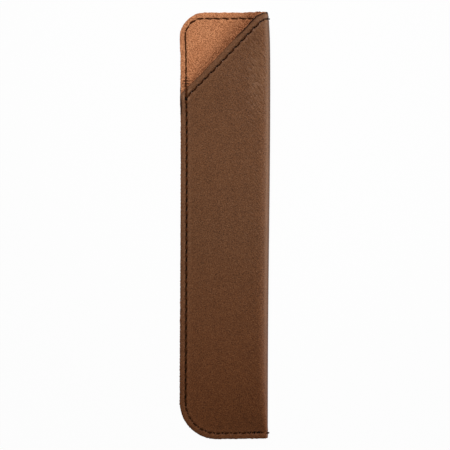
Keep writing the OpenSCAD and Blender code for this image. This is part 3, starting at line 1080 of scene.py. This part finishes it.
# How the thread lies in each run of stitches: how high over the face between the holes, how deep
# in them, the length that it takes to go down, how far it slants across the seam, and how far
# beside the seam's line it is
FOOT_RUN = dict(lift=LIFT + 0.04, sink=SINK, dive=0.95)
SIDE_RUN = dict(lift=LIFT + 0.05, sink=SINK)
FIRST_TACKS = dict(lift=LIFT, sink=SINK, slant=0.8, aside=0.2)
SECOND_TACKS = dict(lift=LIFT + 0.08, sink=SINK, slant=-0.6, aside=0.3)
LOCK_RUN = dict(lift=LIFT + 0.14, sink=SINK, dive=0.35)
BARE_SIDE_RUN = dict(lift=-0.04, sink=0.12, slant=0.05, aside=0.18, face=INNER)
BARE_TOP_RUN = dict(lift=-0.04, sink=0.22, face=INNER)
BACK_RUN = dict(lift=-0.36, sink=0.5, slant=0.08)
MOUTH_RUN = dict(lift=LIFT, sink=SINK, slant=0.16)
INSIDE_RUN = dict(lift=0.1, sink=0.3, slant=0.08, face=INNER)

# The closing thread round the fold, and the shares of the fold's front half where it goes in
WRAP_DROP = 0.16
WRAP_LIFT = 0.2
WRAP_DIVE = (0.2, 0.45)
WRAP_POINTS = 40

# The thread between a hole and an edge: how high it lies, how deep it is in the hole, the length
# that it takes to rise and how far aside it is. The margins are what it leaves free of the hole,
# and then of the edge.
MOUTH_END = dict(lift=0.2, sink=0.5, length=0.25)
MOUTH_END_MARGIN = 0.1
MOUTH_END_POINTS = 12
STEP_END = dict(lift=0.18, sink=0.4, length=0.3, aside=0.1)
STEP_END_MARGINS = (0.15, 0.1)
STEP_END_POINTS = 8

# How far into the top corner's bend the bare panel's thread still counts as on the side
BARE_TURN = 1

# The second tacks' shift along the seam, and the knotted end of the closing seam's covered part
SECOND_TACK_SHIFT = 0.3
LOCK_HOLES = (-1.1, 0.6)
LOCK_ASIDES = (-0.12, 0.18)

# Extra shade on the tacks beside the fold and on the knot
TACK_SHADE = 0.12
LOCK_SHADE = 0.3

# How far the thread is set deeper on the bare back panel and along the mouth, which makes it
# thinner and darker by painted shade
BARE_THIN_AND_SHADE = 0.11
MOUTH_THIN_AND_SHADE = 0.12

# How wide the thread swells where it lies on the face, and where it has sunk to the depth
LOOSE_SWELL = 1.6
SUNK_SWELL = 0.66
SUNK_DEPTH = 0.35


def smoothed(path):
    """The path respaced evenly, with its corners eased."""
    s = lengths_along(path[:, :3])
    at = np.linspace(0, s[-1], max(4, round(s[-1] / THREAD_STEP)))
    path = np.stack([np.interp(at, s, c) for c in path.T], axis=-1)
    for _ in range(2):
        path[1:-1] = (path[:-2] + 2 * path[1:-1] + path[2:]) / 4
    return path


def carried_frame(points):
    """Two directions across a line at each of its points, which don't twist along it."""
    tangent = np.gradient(points, axis=0)
    tangent /= np.linalg.norm(tangent, axis=1, keepdims=True)
    side = np.zeros_like(tangent)
    side[0] = np.cross(tangent[0], (0, 0, 1))
    side[0] /= np.linalg.norm(side[0])
    for i in range(1, len(side)):
        side[i] = side[i - 1] - (side[i - 1] @ tangent[i]) * tangent[i]
        side[i] /= np.linalg.norm(side[i])
    return side[:, None], np.cross(side, tangent)[:, None]


def tube_faces(n):
    """The walls of a tube of n rings, and its two caps around one more point each."""
    m = THREAD_SIDES
    k = np.arange(m)
    after = (k + 1) % m
    start = (np.arange(n - 1) * m)[:, None]
    walls = [start + k, start + after, start + after + m, start + k + m]
    centre = np.full(m, n * m)
    last = (n - 1) * m
    caps = [[centre, after, k], [centre + 1, last + k, last + after]]
    return [np.stack(walls, axis=-1).reshape(-1, 4), *(np.stack(cap, axis=-1) for cap in caps)]


def twisted_tube(path, phase):
    """Points, faces, crease depth and sunk depth of a twisted thread along a path."""
    path = smoothed(path)
    points, sunk = path[:, :3], path[:, 3]
    n = len(points)
    side, up = carried_frame(points)
    turn = 2 * math.pi * np.arange(THREAD_SIDES) / THREAD_SIDES
    along = THREAD_STEP * np.arange(n)[:, None]
    lobe = np.cos(PLY_COUNT * turn - 2 * math.pi * along / TWIST_LENGTH + phase)
    from_end = np.minimum(np.arange(n), np.arange(n)[::-1])
    width = np.minimum(1, END_WIDTH + from_end * END_TAPER)
    width *= lerp(LOOSE_SWELL, SUNK_SWELL, ramp(sunk, 0, SUNK_DEPTH))
    radius = THREAD_R * (1 - PLY_DEPTH + PLY_DEPTH * lobe) * width[:, None]
    across = np.cos(turn)[:, None] * side + np.sin(turn)[:, None] * up
    ring = points[:, None] + radius[..., None] * across
    vertices = np.concatenate([ring.reshape(-1, 3), points[[0, -1]]])
    crease = np.concatenate([((1 - lobe) / 2).ravel(), [0.5, 0.5]])
    depth = np.concatenate([np.repeat(sunk, THREAD_SIDES), sunk[[0, -1]]])
    return vertices, tube_faces(n), crease, depth


def with_depth(points, depth=0.0):
    """The points with how deep the thread has sunk as a fourth number."""
    return np.column_stack([points, np.broadcast_to(depth, len(points))])


def thinned_and_shaded(points, depth):
    """The points of a thread that is set deeper, and so is thinner, and darker by painted shade.
    """
    return points + (0, 0, 0, depth)


def stitch_run(seam, holes, lift, sink, dive=0.74, slant=0.1, aside=0.0, face=OUTER):
    """Line of a thread that goes down into each hole, and slants across the seam between them."""
    points = []
    t = np.linspace(STITCH_MARGIN, 1 - STITCH_MARGIN, STITCH_POINTS)
    curl = SLANT_LEAN * np.cos(math.pi * t) + SLANT_CURL * np.sin(2 * math.pi * t)
    for a, b in zip(holes[:-1], holes[1:]):
        s = lerp(a, b, t)
        height = lift - (lift + sink) * bell(np.minimum(s - a, b - s), 0, dive)
        out = PLY + height if face == OUTER else -height
        points.append(with_depth(place(*seam.at(s, aside + slant * curl), out), lift - height))
    return np.concatenate(points)


def end_run(seam, s, hole_s, lift, sink, length, aside=0.0):
    """Line of a thread between a hole and an edge, over the outer face."""
    out = PLY + lift - sink * np.exp(-np.abs(s - hole_s) / length)
    return with_depth(place(*seam.at(s, aside), out))


def fold_wrap(v):
    """Line of a thread that comes round the fold from the back, and goes into the skin."""
    u = np.linspace(WRAP_U, FOLD_HALF, WRAP_POINTS)
    return with_depth(place(u, v, PLY + WRAP_LIFT - SINK * ramp(u / FOLD_HALF, *WRAP_DIVE)))


def build_thread(name, lines, node_name):
    """One piece from lines of thread, each with how much deeper in shade it lies."""
    vertices, walls, caps, creases, depths, count = [], [], [], [], [], 0
    for i, (path, shade) in enumerate(lines):
        points, (wall, *ends), crease, depth = twisted_tube(path, PHASE_STEP * i)
        vertices.append(points)
        walls.append(wall + count)
        caps += [end + count for end in ends]
        creases.append(crease)
        depths.append(depth + shade)
        count += len(points)
    vertices = np.concatenate(vertices)
    made = make_object(name, vertices, walls + caps, THREAD, node_name)
    set_field(made, "crease", np.concatenate(creases))
    set_field(made, "depth", np.concatenate(depths))
    return made


def build_closing_threads():
    holes = front_closing.holes
    end = holes[-1]
    side_first = int(np.argmax(front_closing.at(holes)[1] > SIDE_START_Y))
    is_side = back_closing.at(bare_holes)[1] < TOP_Y - TOP_CORNER_R + BARE_TURN
    bare = np.concatenate([
        stitch_run(back_closing, bare_holes[is_side], **BARE_SIDE_RUN),
        stitch_run(back_closing, bare_holes[is_side.sum() - 1 :], **BARE_TOP_RUN),
    ])
    by_hole, by_edge = STEP_END_MARGINS
    step_s = np.linspace(end + by_hole, front_closing.s[-1] - by_edge, STEP_END_POINTS)
    main = np.concatenate([
        stitch_run(front_closing, holes[TACK_COUNT : side_first + 1], **FOOT_RUN),
        stitch_run(front_closing, holes[side_first:], **SIDE_RUN),
        end_run(front_closing, step_s, end, **STEP_END),
        thinned_and_shaded(bare, BARE_THIN_AND_SHADE),
    ])
    first_tacks = np.concatenate([
        fold_wrap(FOOT_SEAM_Y - WRAP_DROP),
        stitch_run(front_closing, holes[: TACK_COUNT + 1], **FIRST_TACKS),
    ])
    second_holes = holes[:TACK_COUNT] + SECOND_TACK_SHIFT
    second_tacks = stitch_run(front_closing, second_holes, **SECOND_TACKS)
    lines = [(main, 0), (first_tacks, TACK_SHADE), (second_tacks, TACK_SHADE)]
    for aside in LOCK_ASIDES:
        lock = stitch_run(front_closing, np.add(end, LOCK_HOLES), aside=aside, **LOCK_RUN)
        lines.append((lock, LOCK_SHADE))
    build_thread("closing_thread_front", lines, "closing_needle_thread")
    back = stitch_run(back_closing, back_closing.holes, **BACK_RUN)
    build_thread("closing_thread_back", [(back, 0)], "closing_bobbin_thread")


def build_mouth_threads():
    holes = mouth_seam.holes
    wrap_s = np.linspace(mouth_seam.s[0], holes[0] - MOUTH_END_MARGIN, MOUTH_END_POINTS)
    front = np.concatenate([
        end_run(mouth_seam, wrap_s, holes[0], **MOUTH_END),
        stitch_run(mouth_seam, holes, **MOUTH_RUN),
    ])
    lines = [(thinned_and_shaded(front, MOUTH_THIN_AND_SHADE), 0)]
    build_thread("mouth_thread_front", lines, "mouth_needle_thread")
    inner = stitch_run(mouth_seam, holes[:-2], **INSIDE_RUN)
    build_thread("mouth_thread_inside", [(inner, 0)], "mouth_bobbin_thread")


# Floor, light and camera

# Millimetres per pixel of the picture, its size, and the pixel that shows the frame's origin
PHOTO_SCALE = 0.3727
PHOTO_SIZE = 450
ORIGIN_PIXEL = (225.2, 226.0)
CAMERA_HEIGHT = 1135
SENSOR_WIDTH = 36

# The floor's side in metres, how far it lies below the sleeve, and the share of it that glows
FLOOR_SIZE = 6
FLOOR_DROP = 0.05
FLOOR_GLOW = 0.97
SKY_STRENGTH = 0.26

# Spot lamps: place and target in metres, energy, cone in degrees, radius
SPOTS = (
    ("mouth_light", (-0.1, 0.62, 0.62), (0, 0.06, 0), 28, 17, 0.04),
    ("side_light", (0.35, -0.05, 0.4), (0, 0.055, 0), 3, 36, 0.13),
)


def build_floor():
    """A floor that is white to the camera and grey to the light that it throws back."""
    made = Material("floor")
    made.nodes.remove(made.shader)
    grey = made.node("BsdfDiffuse", Color=(0.6, 0.6, 0.6, 1))
    white = made.node("Emission", Color=(1, 1, 1, 1), Strength=1.0)
    rays = made.node("LightPath").outputs
    seen = made.maths("MAXIMUM", rays["Is Camera Ray"], rays["Is Glossy Ray"])
    seen = made.maths("MAXIMUM", seen, rays["Is Transmission Ray"])
    share = made.maths("MULTIPLY", seen, FLOOR_GLOW)
    mix = made.node("MixShader")
    for value, socket in zip((share, grey.outputs[0], white.outputs[0]), mix.inputs):
        made.put(value, socket)
    made.put(mix.outputs[0], made.nodes["Material Output"].inputs["Surface"])
    mesh = bpy.data.meshes.new("floor")
    h = FLOOR_SIZE / 2
    z = -FLOOR_DROP * MM
    mesh.from_pydata([(-h, -h, z), (h, -h, z), (h, h, z), (-h, h, z)], [], [(0, 1, 2, 3)])
    mesh.materials.append(made.made)
    floor = add_object("floor", mesh)


def add_lamp(name, kind, location, target, energy, **settings):
    """Puts a lamp in the scene, facing its target. Its places and sizes are in metres."""
    data = bpy.data.lights.new(name, kind)
    data.energy = energy
    for setting, value in settings.items():
        setattr(data, setting, value)
    lamp = add_object(name, data)
    lamp.location = location
    away = Vector(location) - Vector(target)
    lamp.rotation_euler = away.to_track_quat("Z", "Y").to_euler()


def build_light():
    world = bpy.data.worlds.new("world")
    scene.world = world
    world.use_nodes = True
    sky = world.node_tree.nodes["Background"]
    sky.inputs["Color"].default_value = (1, 1, 1, 1)
    sky.inputs["Strength"].default_value = SKY_STRENGTH
    for name, location, target, energy, cone, radius in SPOTS:
        add_lamp(
            name, "SPOT", location, target, energy,
            spot_size=math.radians(cone), spot_blend=1, shadow_soft_size=radius,
        )
    add_lamp(
        "fold_light", "AREA", (0.22, 0.03, 0.016), (0.017, 0.03, 0.004), energy=0.36,
        shape="RECTANGLE", size=0.26, size_y=0.02,
    )


def build_camera():
    data = bpy.data.cameras.new("camera")
    data.sensor_width = SENSOR_WIDTH
    data.lens = SENSOR_WIDTH * CAMERA_HEIGHT / (PHOTO_SIZE * PHOTO_SCALE)
    camera = add_object("camera", data)
    centre = PHOTO_SIZE / 2
    x = (centre - ORIGIN_PIXEL[0]) * PHOTO_SCALE
    y = (ORIGIN_PIXEL[1] - centre) * PHOTO_SCALE
    camera.location = (x * MM, y * MM, CAMERA_HEIGHT * MM)
    data.clip_start, data.clip_end = 0.01, 20
    scene.camera = camera


scene.view_settings.view_transform = "Standard"
build_camera()
build_floor()
build_light()
skin = build_skin()
lining = build_lining()
build_closing_threads()
build_mouth_threads()
